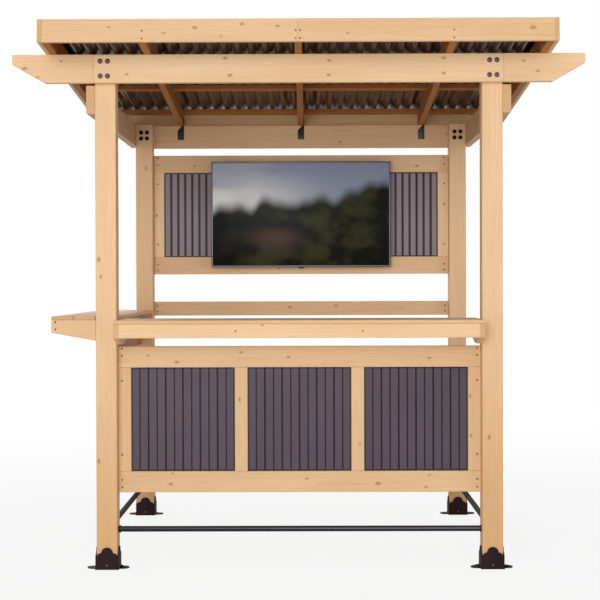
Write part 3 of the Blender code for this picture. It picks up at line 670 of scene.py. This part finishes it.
WAVE_PITCH = 0.068
WAVE_DEPTH = 0.016
WAVE_STEPS = 20
WAVE_MERGE = 0.00005
SHEET_THICKNESS = 0.0008
ROOF_SCREW_EVERY = 3
HEX_RADIUS = 0.0046
HEX_HEIGHT = 0.0050
SEAL_RADIUS = 0.0075
SEAL_HEIGHT = 0.0022
WEATHERING_CLOUDS = 3.0
WEATHERED = 0.6


def coated_sheet():
    """Baked paint on galvanised steel: dark purple-brown, glossy below and dulled by weather above."""
    material, tree, shader = new_material("brown_coated_steel", Specular_IOR_Level=0.36)
    shader.inputs["Specular Tint"].default_value = linear("#E3C3CB")
    coords = add_node(tree, "TexCoord").outputs

    # The paint has aged unevenly, in clouds about 330 mm across
    cloud = noise(tree, coords["Object"], WEATHERING_CLOUDS, 4.0)
    tree.links.new(blend(tree, cloud, "#170D12", "#27171A"), shader.inputs["Base Color"])
    gloss = ramp(tree, cloud, 0.35, 0.65, 0.12, 0.26)
    upward = add_node(tree, "SeparateXYZ", {0: coords["Normal"]}).outputs[2]
    above = calc(tree, "GREATER_THAN", upward, 0.0)
    dulled = (WEATHERED, WEATHERED, WEATHERED, 1.0)
    tree.links.new(blend(tree, above, gloss, dulled), shader.inputs["Roughness"])
    return material


SHEET_STEEL = coated_sheet()
sheet_low, sheet_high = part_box("roof_sheet")
sheet_width = sheet_high.x - sheet_low.x
waves = round(sheet_width / WAVE_PITCH)
pitch_across = sheet_width / waves
step_across = pitch_across / WAVE_STEPS
section_height = WAVE_DEPTH + SHEET_THICKNESS
sheet_reach = (sheet_high.y - sheet_low.y - section_height * math.sin(PITCH)) / math.cos(PITCH)
sheet_middle = (sheet_low + sheet_high) / 2


def wave_height(step):
    """Height of the corrugation a number of steps from a trough."""
    return -WAVE_DEPTH / 2 * math.cos(2 * math.pi * step / WAVE_STEPS)


sheet = start_piece(
    bpy.ops.mesh.primitive_plane_add,
    size=1.0,
    scale=(step_across, sheet_reach, 1.0),
    location=(-sheet_width / 2 - step_across / 2, 0, wave_height(0)),
)
pick(sheet, "VERT", lambda point: point.co.x < 0)
bpy.ops.mesh.delete(type="VERT")
close_edit()
pick(sheet, "EDGE", lambda edge: True)
for step in range(WAVE_STEPS):
    climb = wave_height(step + 1) - wave_height(step)
    bpy.ops.mesh.extrude_region_move(TRANSFORM_OT_translate={"value": (step_across, 0, climb)})
close_edit()
bpy.ops.object.transform_apply(location=True, rotation=True, scale=True)
repeat = sheet.modifiers.new("waves", "ARRAY")
repeat.count = waves
repeat.use_relative_offset = False
repeat.use_constant_offset = True
repeat.constant_offset_displace = (pitch_across, 0, 0)
repeat.use_merge_vertices = True
repeat.merge_threshold = WAVE_MERGE
wall = sheet.modifiers.new("steel", "SOLIDIFY")
wall.thickness = SHEET_THICKNESS
wall.offset = 0.0
sheet.rotation_euler = (-PITCH, 0, 0)
sheet.location = sheet_middle
finish_piece(sheet, "corrugated_sheet", SHEET_STEEL, smooth_angle=40)
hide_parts("roof_sheet")

seal = capped_disc(16, SEAL_RADIUS, SEAL_HEIGHT, 0, SEAL_HEIGHT * 0.4)
hexagon = capped_disc(6, HEX_RADIUS, HEX_HEIGHT, SEAL_HEIGHT, HEX_HEIGHT * 0.12, segments=1)
seal.select_set(True)
bpy.ops.object.join()
ROOF_SCREW = keep_model(hexagon)

roof_screws = []
for number in (1, 2, 3):
    batten_low, batten_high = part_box(f"roof_batten_{number}")
    down = ((batten_low.y + batten_high.y) / 2 - sheet_middle.y) / math.cos(PITCH)
    for crest in range(1, waves, ROOF_SCREW_EVERY):
        across = sheet_low.x + (crest + 0.5) * pitch_across
        place = (
            Vector((across, sheet_middle.y, sheet_middle.z))
            + DOWN_SLOPE * down
            + OFF_SLOPE * section_height / 2
        )
        roof_screws.append((place, OFF_SLOPE))
# Painted heads on rubber washers: a shade paler than the sheet, so the rows show from above
roof_screw_paint = coated("painted_hex_screw", "#4A3A39", "#5E4C4A", 0.40, 0.35)
set_out(ROOF_SCREW, "roof_screws", roof_screws, roof_screw_paint)


# Rafter ties: bent steel straps that hold the three inner rafters down to the back beam. Each is
# cut from 3 mm plate, folded and zinc-plated, and is screwed to the rafter and to the beam.

TIE_EDGE = 0.0008

# Passivated zinc on the ties is blue-black, with a cool light on the folds
TIE_STEEL = coated("blue_black_zinc", "#15121C", "#272335", 0.35, 0.30)

for rafter in ("left", "middle", "right"):
    eased_copy(rafter + "_rafter_tie", rafter + "_tie", TIE_STEEL, TIE_EDGE)


# Bar panel: a cedar frame of two rails and four stiles, screwed between the front posts. Its three
# infills are roll-formed ribbed steel sheet, painted charcoal, let into grooves in the frame.

PANEL_TONE = 0.07
RIB_PITCH = 0.042
SHADE_STARTS = 0.0004
SHADE_FULL = 0.0030
JOINT_MOUTH = 0.0038
EDGE_SHADE_WIDTH = 0.0080
EDGE_SHADE_BLUR = 0.0008
PAINT_CLOUDS = 4.0
PANEL_SCREW_IN = 0.018
PANEL_SCREWS_UP = (0.390, 0.427, 0.548, 0.906, 1.028, 1.063)


def ribbed_steel(name, node, dusky, pale, mouth):
    """Roll-formed sheet painted charcoal with an aubergine cast, with painted shade near black down in
    its grooves.

    mouth is how far to each side of a joint the shade is drawn.
    """
    material, tree, shader = new_material(name, Metallic=0.0, Roughness=0.45, Specular_IOR_Level=0.3)
    low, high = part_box(node)
    here = add_node(tree, "TexCoord").outputs["Object"]

    # Two shades in clouds 250 mm across, as from uneven paint, and painted shade darker down in the
    # grooves
    colour = blend(tree, noise(tree, here, PAINT_CLOUDS, 3.0), dusky, pale)
    place = add_node(tree, "SeparateXYZ", {0: here}).outputs
    deep = ramp(tree, place[1], low.y + SHADE_STARTS, low.y + SHADE_FULL, 0.0, 0.95)

    # Joints: shaded by their places across the sheet, which start at its left edge
    pitch = (high.x - low.x) / round((high.x - low.x) / RIB_PITCH)
    from_middle = calc(tree, "FLOORED_MODULO", calc(tree, "SUBTRACT", place[0], low.x + pitch / 2), pitch)
    from_joint = calc(tree, "ABSOLUTE", calc(tree, "SUBTRACT", from_middle, pitch / 2))
    deep = calc(tree, "MAXIMUM", deep, ramp(tree, from_joint, mouth * 0.75, mouth, 0.9, 0.0))

    # Painted shade: a near-black band where the sheet enters its frame, for the shadow in the recess
    middle = (low + high) / 2
    for axis in (0, 2):
        off = calc(tree, "ABSOLUTE", calc(tree, "SUBTRACT", place[axis], middle[axis]))
        edge_shade_start = (high[axis] - low[axis]) / 2 - EDGE_SHADE_WIDTH
        edge_shade = ramp(tree, off, edge_shade_start, edge_shade_start + EDGE_SHADE_BLUR, 0.0, 0.9)
        deep = calc(tree, "MAXIMUM", deep, edge_shade)
    tree.links.new(blend(tree, deep, colour, "#150D14"), shader.inputs["Base Color"])
    return material


timber("bar_panel_top_rail", RIGHT, UP, tone=PANEL_TONE, knots=[
    (-0.733, 0.008, 0.0035), (-0.594, -0.025, 0.0055), (-0.282, 0.021, 0.0045),
    (-0.052, -0.002, 0.0045), (0.629, -0.008, 0.0045),
])
timber("bar_panel_bottom_rail", RIGHT, UP, tone=PANEL_TONE, knots=[
    (-0.616, 0.042, 0.0030), (-0.626, -0.011, 0.0055), (0.034, 0.015, 0.0045),
    (0.380, -0.010, 0.0065), (0.612, -0.027, 0.0045), (0.628, 0.031, 0.0035),
])
timber("bar_panel_stile_1", UP, RIGHT, tone=PANEL_TONE, knots=[])
timber("bar_panel_stile_2", UP, RIGHT, tone=PANEL_TONE, knots=[(0.095, -0.008, 0.0050)])
timber("bar_panel_stile_3", UP, RIGHT, tone=PANEL_TONE, knots=[(-0.120, 0.010, 0.0035)])
timber("bar_panel_stile_4", UP, RIGHT, tone=PANEL_TONE, knots=[
    (0.110, -0.021, 0.0040), (-0.082, -0.017, 0.0040),
])
for number in (1, 2, 3):
    node = f"bar_panel_ribs_{number}"
    cover(node, ribbed_steel(
        f"charcoal_ribbed_steel_{number}", node, "#483A47", "#574957", JOINT_MOUTH
    ))


def on_front(columns, face, heights):
    """Spots on a face that looks to the bar front: one at each height in each column."""
    return [((across, face, up), (0, -1, 0)) for across in columns for up in heights]


rail_low, rail_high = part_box("bar_panel_top_rail")
screw_columns = (rail_low.x + PANEL_SCREW_IN, rail_high.x - PANEL_SCREW_IN)
panel_screws = on_front(screw_columns, rail_low.y, PANEL_SCREWS_UP)
set_out(SCREW, "bar_panel_screws", panel_screws, BLACK_STEEL)


# Screen panel: the same cedar frame and ribbed sheet, screwed between the back posts at head height
# for the screen to hang on. A single cedar rail runs between the posts beneath it.

SCREEN_SCREW_IN = 0.025
SCREEN_SCREWS_UP = (1.455, 1.491, 1.610, 1.970, 2.083, 2.125)
LOWER_SCREW_IN = 0.020
LOWER_SCREW_RISE = 0.016
SHADED_MOUTH = 0.0080

timber("screen_panel_top_rail", RIGHT, UP)
timber("screen_panel_bottom_rail", RIGHT, UP, tone=0.03)
timber("lower_back_rail", RIGHT, UP, tone=PANEL_TONE)
# The stiles are painted paler than plain cedar: painted light, making up for the shade at the back of the
# bar.
for number in (1, 2):
    timber(f"screen_panel_stile_{number}", UP, RIGHT, tone=-0.09, knots_per_metre=1)
cover("screen_panel_ribs", ribbed_steel(
    "lilac_grey_ribbed_steel", "screen_panel_ribs", "#827279", "#96868E", SHADED_MOUTH
))

rail_low, rail_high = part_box("screen_panel_top_rail")
screw_columns = (rail_low.x + SCREEN_SCREW_IN, rail_high.x - SCREEN_SCREW_IN)
back_screws = on_front(screw_columns, rail_low.y, SCREEN_SCREWS_UP)
lower_low, lower_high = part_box("lower_back_rail")
lower_middle = (lower_low.z + lower_high.z) / 2
screw_columns = (lower_low.x + LOWER_SCREW_IN, lower_high.x - LOWER_SCREW_IN)
lower_heights = (lower_middle - LOWER_SCREW_RISE, lower_middle + LOWER_SCREW_RISE)
back_screws += on_front(screw_columns, lower_low.y, lower_heights)
set_out(SCREW, "back_panel_screws", back_screws, BLACK_STEEL)


# Screen: a flat display on two upright steel hangers hooked over the panel's rails. Its front is
# one sheet of glass in a thin black bezel, with a deeper moulded housing low on its back.

BEZEL = 0.009
BEZEL_STEP = 0.0020
BODY_DEPTH = 0.014
BODY_EDGE = 0.0015
HOUSING_INSET = 0.120
HOUSING_TAPER = 0.030
HANGER_WIDTH = 0.045
HANGER_SPACING = 0.400
HANGER_SHORTER = 0.040
HANGER_EDGE = 0.002
SCREEN_DEPTH = 0.032
PANE_GAP = 0.0002
PANE_THICKNESS = 0.0010
PANE_SINK = 0.0017
PANE_EDGE = 0.0003
TRIM_INSET = 0.0040
TRIM_WIDTH = 0.0024
TRIM_DEPTH = 0.0010
SENSOR_SIZE = Vector((0.034, 0.006, 0.007))
CLOUDS_IN_REFLECTION = (1.7, 0, 3.4)
LEAVES_IN_REFLECTION = (5.5, 0, 4.0)
REFLECTION_GLOW = 0.45

display_low, display_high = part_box("television")
display_middle = (display_low + display_high) / 2
display_size = display_high - display_low

# Moulded ABS has a faint grain and a satin black face; the brushed aluminium strip set into it
# draws a thin grey line round the pane, which is also a painted highlight along the bezel's edge
bezel_plastic = coated("black_moulded_abs", "#0F0F12", "#17171A", 0.35, 0.30)
trim_highlight_metal = coated("brushed_aluminium_painted_highlight", "#66666C", "#77777D", 0.40, 0.50, metallic=1.0)


def painted_garden_reflection():
    """Matt display glass with a painted reflection of a soft, made-up garden at dusk: sky over a dark
    tree line.
    """
    material, tree, shader = new_material("display_glass_painted_reflection", Roughness=0.35, Specular_IOR_Level=0.08)
    place = add_node(tree, "TexCoord").outputs["Object"]

    # Places in the reflection run from 0 to 1 across and up
    shares = (1 / display_size.x, 0, 1 / display_size.z)
    reflection = calc_vector(tree, "MULTIPLY", calc_vector(tree, "SUBTRACT", place, display_low), shares)
    parts = add_node(tree, "SeparateXYZ", {0: reflection}).outputs
    across = parts[0]
    up = parts[2]

    # Sky: slate blue, with a broad pale cloud low on the left
    cloud = ramp(tree, drawn_noise(tree, reflection, CLOUDS_IN_REFLECTION, 1.5), 0.30, 0.58, curve="SMOOTHSTEP")
    leftward = ramp(tree, across, 0.05, 0.75, 1.0, 0.1, "SMOOTHSTEP")
    low_sky = ramp(tree, up, 0.60, 0.98, 1.0, 0.25, "SMOOTHSTEP")
    cloud = calc(tree, "MULTIPLY", calc(tree, "MULTIPLY", cloud, leftward), low_sky)
    sky = blend(tree, cloud, "#6A7183", "#BAB8B4")

    # Foliage: near black at the left foot, moss green and earth brown elsewhere, all out of focus
    leaf = ramp(tree, drawn_noise(tree, reflection, LEAVES_IN_REFLECTION, 2.0), 0.40, 0.66, curve="SMOOTHSTEP")
    ground = blend(tree, leaf, "#0C0D0A", "#2B2B18")
    earth_at = calc_vector(tree, "SUBTRACT", reflection, (0.36, 0, 0.27))
    earth = calc_vector(tree, "LENGTH", calc_vector(tree, "MULTIPLY", earth_at, (4.2, 0, 6.5)))
    ground = blend(tree, ramp(tree, earth, 0.0, 1.0, 0.85, 0.0, "SMOOTHSTEP"), ground, "#453229")
    ground = blend(tree, ramp(tree, across, 0.02, 0.28, 0.8, 0.0, "SMOOTHSTEP"), ground, "#0A0A0D")

    # Tree line: a rolling edge that climbs to the right and fades softly into the sky
    roll = add_node(tree, "TexNoise", {"W": across, "Scale": 5.0, "Detail": 1.0}, noise_dimensions="1D")
    roll = calc(tree, "MULTIPLY_ADD", roll.outputs[0], 0.40, 0.28)
    line = calc(tree, "MULTIPLY_ADD", across, 0.28, roll)
    above = ramp(tree, calc(tree, "SUBTRACT", up, line), -0.06, 0.09, curve="SMOOTHSTEP")
    shown = blend(tree, above, ground, sky)
    tree.links.new(shown, shader.inputs["Base Color"])
    # The painted reflection also glows a little: painted light, so it keeps its brightness in the shade
    # of the roof
    tree.links.new(shown, shader.inputs["Emission Color"])
    shader.inputs["Emission Strength"].default_value = REFLECTION_GLOW
    return material


def block(size, middle):
    """A block at its size and place."""
    return start_piece(bpy.ops.mesh.primitive_cube_add, scale=size, size=1.0, location=middle)


body = block(
    (display_size.x, BODY_DEPTH, display_size.z),
    (display_middle.x, display_low.y + BODY_DEPTH / 2, display_middle.z),
)
pick(body, "FACE", lambda face: face.normal.y < -0.5)
bpy.ops.mesh.inset(thickness=BEZEL)
bpy.ops.mesh.extrude_region_move(TRANSFORM_OT_translate={"value": (0, BEZEL_STEP, 0)})
close_edit()
pick(body, "FACE", lambda face: face.normal.y > 0.5)
bpy.ops.mesh.inset(thickness=HOUSING_INSET)
bpy.ops.mesh.extrude_region_move(
    TRANSFORM_OT_translate={"value": (0, SCREEN_DEPTH - BODY_DEPTH, 0)}
)
bpy.ops.transform.resize(
    value=(1 - HOUSING_TAPER, 1, 1 - HOUSING_TAPER), center_override=display_middle
)
close_edit()
ease_edges(body, BODY_EDGE, segments=3)
finish_piece(body, "display_body", bezel_plastic)
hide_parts("television")

pane_inset = 2 * (BEZEL + PANE_GAP)
pane = block(
    (display_size.x - pane_inset, PANE_THICKNESS, display_size.z - pane_inset),
    (display_middle.x, display_low.y + PANE_SINK - PANE_THICKNESS / 2, display_middle.z),
)
ease_edges(pane, PANE_EDGE)
finish_piece(pane, "display_pane", painted_garden_reflection())

trim = block(
    (display_size.x - 2 * TRIM_INSET, TRIM_DEPTH, display_size.z - 2 * TRIM_INSET),
    (display_middle.x, display_low.y - TRIM_DEPTH / 2, display_middle.z),
)
pick(trim, "FACE", lambda face: abs(face.normal.y) > 0.5)
bpy.ops.mesh.inset(thickness=TRIM_WIDTH)
bpy.ops.mesh.bridge_edge_loops()
close_edit()
finish_piece(trim, "display_trim", trim_highlight_metal)

sensor = block(
    SENSOR_SIZE,
    (display_middle.x, display_low.y + SENSOR_SIZE.y / 2, display_low.z - SENSOR_SIZE.z / 2),
)
pick(sensor, "FACE", lambda face: True)
bpy.ops.mesh.bevel(offset=BODY_EDGE, segments=2)
close_edit()
finish_piece(sensor, "display_sensor", bezel_plastic)

stand_off = display_size.y - SCREEN_DEPTH
for side, name in ((-1, "left"), (1, "right")):
    hanger = block(
        (HANGER_WIDTH, stand_off, display_size.z - HANGER_SHORTER),
        (display_middle.x + side * HANGER_SPACING / 2, display_high.y - stand_off / 2, display_middle.z),
    )
    ease_edges(hanger, HANGER_EDGE)
    finish_piece(hanger, f"{name}_display_hanger", BLACK_STEEL)


# Bar counter: four planed boards screwed down on a tapered arm at each front post, with an apron
# between the arms' front ends. The boards' edges are eased and a small seam is left between them.

COUNTER_SEAM = 0.003
COUNTER_EDGE = 0.0022
BAR_BOARDS = 4
APRON_NAILS_OUT = 0.300


def counter_board(name, low, high, along, across, tone=0.07):
    """A planed board with eased edges from its own cut of cedar."""
    low = Vector(low)
    high = Vector(high)
    size = high - low
    board = block(size, (low + high) / 2)
    pick(board, "FACE", lambda face: True)
    bpy.ops.mesh.bevel(offset=COUNTER_EDGE, segments=2)
    close_edit()
    rng = random.Random(name)
    length = abs(size.dot(along))
    knots = scattered_knots(rng, length, abs(size.dot(across)), 2.0)
    edge_knots = narrow_knots(rng, length, size.z)
    material = cedar(name, (low + high) / 2, along, across, rng, tone, knots, edge_knots)
    return finish_piece(board, name, material)


bar_low, bar_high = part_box("bar_counter_top")
board_width = (bar_high.y - bar_low.y + COUNTER_SEAM) / BAR_BOARDS - COUNTER_SEAM
for number in range(BAR_BOARDS):
    start = bar_low.y + number * (board_width + COUNTER_SEAM)
    board = counter_board(
        f"bar_board_{number + 1}",
        (bar_low.x, start, bar_low.z),
        (bar_high.x, start + board_width, bar_high.z),
        RIGHT,
        BACK,
    )
    if number == 0:
        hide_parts("bar_counter_top")
timber("bar_counter_apron", RIGHT, UP, tone=-0.04, knots=[(-0.173, 0.028, 0.0035)])
for side in ("left", "right"):
    timber(f"bar_counter_{side}_arm", BACK, UP)
apron_low, apron_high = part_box("bar_counter_apron")
apron_middle = (apron_low.z + apron_high.z) / 2
apron_nails = on_front((-APRON_NAILS_OUT, APRON_NAILS_OUT), apron_low.y, (apron_middle,))
set_out(NAIL, "apron_nails", apron_nails, nail_steel)


# Side counter: two long boards outside the left posts and one between them, on two tapered arms
# screwed to the posts and a rail that joins them. A second rail shows just below the first.

POST_GAP = 0.001
RAIL_GAP = 0.0015
LOWER_RAIL_DEPTH = 0.100
SIDE_SCREW_IN = 0.0193
SIDE_SCREWS_UP = (1.158, 1.1935)

ledge_low, ledge_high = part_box("side_counter_top")
front_post_low, front_post_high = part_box("front_left_post")
back_post_low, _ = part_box("back_left_post")
ledge_board = (front_post_low.x - ledge_low.x) / 2 - COUNTER_SEAM
for number in range(2):
    start = ledge_low.x + number * (ledge_board + COUNTER_SEAM)
    board = counter_board(
        f"side_board_{number + 1}",
        (start, ledge_low.y, ledge_low.z),
        (start + ledge_board, ledge_high.y, ledge_high.z),
        BACK,
        RIGHT,
    )
    if number == 0:
        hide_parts("side_counter_top")
counter_board(
    "side_board_3",
    (front_post_low.x, front_post_high.y + POST_GAP, ledge_low.z),
    (ledge_high.x, back_post_low.y - POST_GAP, ledge_high.z),
    BACK,
    RIGHT,
)
timber("side_counter_front_arm", RIGHT, UP)
timber("side_counter_back_arm", RIGHT, UP)
# This rail and the one below it are painted darker and redder than the other boards: painted shade, for
# the shade under the counter.
timber("side_counter_rail", BACK, UP, tone=0.30)
rail_low, rail_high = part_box("side_counter_rail")
counter_board(
    "side_lower_rail",
    (rail_low.x, rail_low.y, rail_low.z - RAIL_GAP - LOWER_RAIL_DEPTH),
    (rail_high.x, rail_high.y, rail_low.z - RAIL_GAP),
    BACK,
    UP,
    tone=0.50,
)
arm_low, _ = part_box("side_counter_front_arm")
arm_screws = on_front((arm_low.x + SIDE_SCREW_IN,), arm_low.y, SIDE_SCREWS_UP)
set_out(SCREW, "side_arm_screws", arm_screws, BLACK_STEEL)


# Foot rails: round steel tubes between the front posts and along both sides, enamelled black, with
# a small flange at each end that is screwed to the post.

TUBE_RADIUS = 0.0140
FLANGE_RADIUS = 0.0160
FLANGE_DEPTH = 0.006
TUBE_EDGE = 0.0015

# The front tube's enamel is worn to a satin black with a band of light along it. The side tubes
# get a copy painted a matt smoky brown-black, a painted reflection of the warm brown they show at
# a flat angle, and they mirror little of the floor.
worn_enamel = coated("satin_tube_enamel", "#0D090E", "#17111A", 0.28, 0.52)
reflection_painted_enamel = coated("smoky_tube_enamel", "#341F1E", "#44302D", 0.50, 0.010)

for side in ("front", "left", "right"):
    low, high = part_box(side + "_foot_rail")
    middle = (low + high) / 2
    length = max(high - low)
    tube = start_piece(
        bpy.ops.mesh.primitive_cylinder_add,
        vertices=40, radius=TUBE_RADIUS, depth=length - 2 * FLANGE_DEPTH, location=(0, 0, 0),
    )
    for end in (-1, 1):
        pick(tube, "FACE", lambda face: face.normal.z * end > 0.9)
        bpy.ops.mesh.extrude_region_move()
        spread = FLANGE_RADIUS / TUBE_RADIUS
        bpy.ops.transform.resize(value=(spread, spread, 1))
        bpy.ops.mesh.extrude_region_move(TRANSFORM_OT_translate={"value": (0, 0, end * FLANGE_DEPTH)})
        close_edit()
    ease_edges(tube, TUBE_EDGE, sharper_than=40)
    tube.rotation_euler = (0, math.radians(90), 0) if side == "front" else (math.radians(90), 0, 0)
    tube.location = middle
    enamel = worn_enamel if side == "front" else reflection_painted_enamel
    finish_piece(tube, f"{side}_tube", enamel)
    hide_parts(side + "_foot_rail")
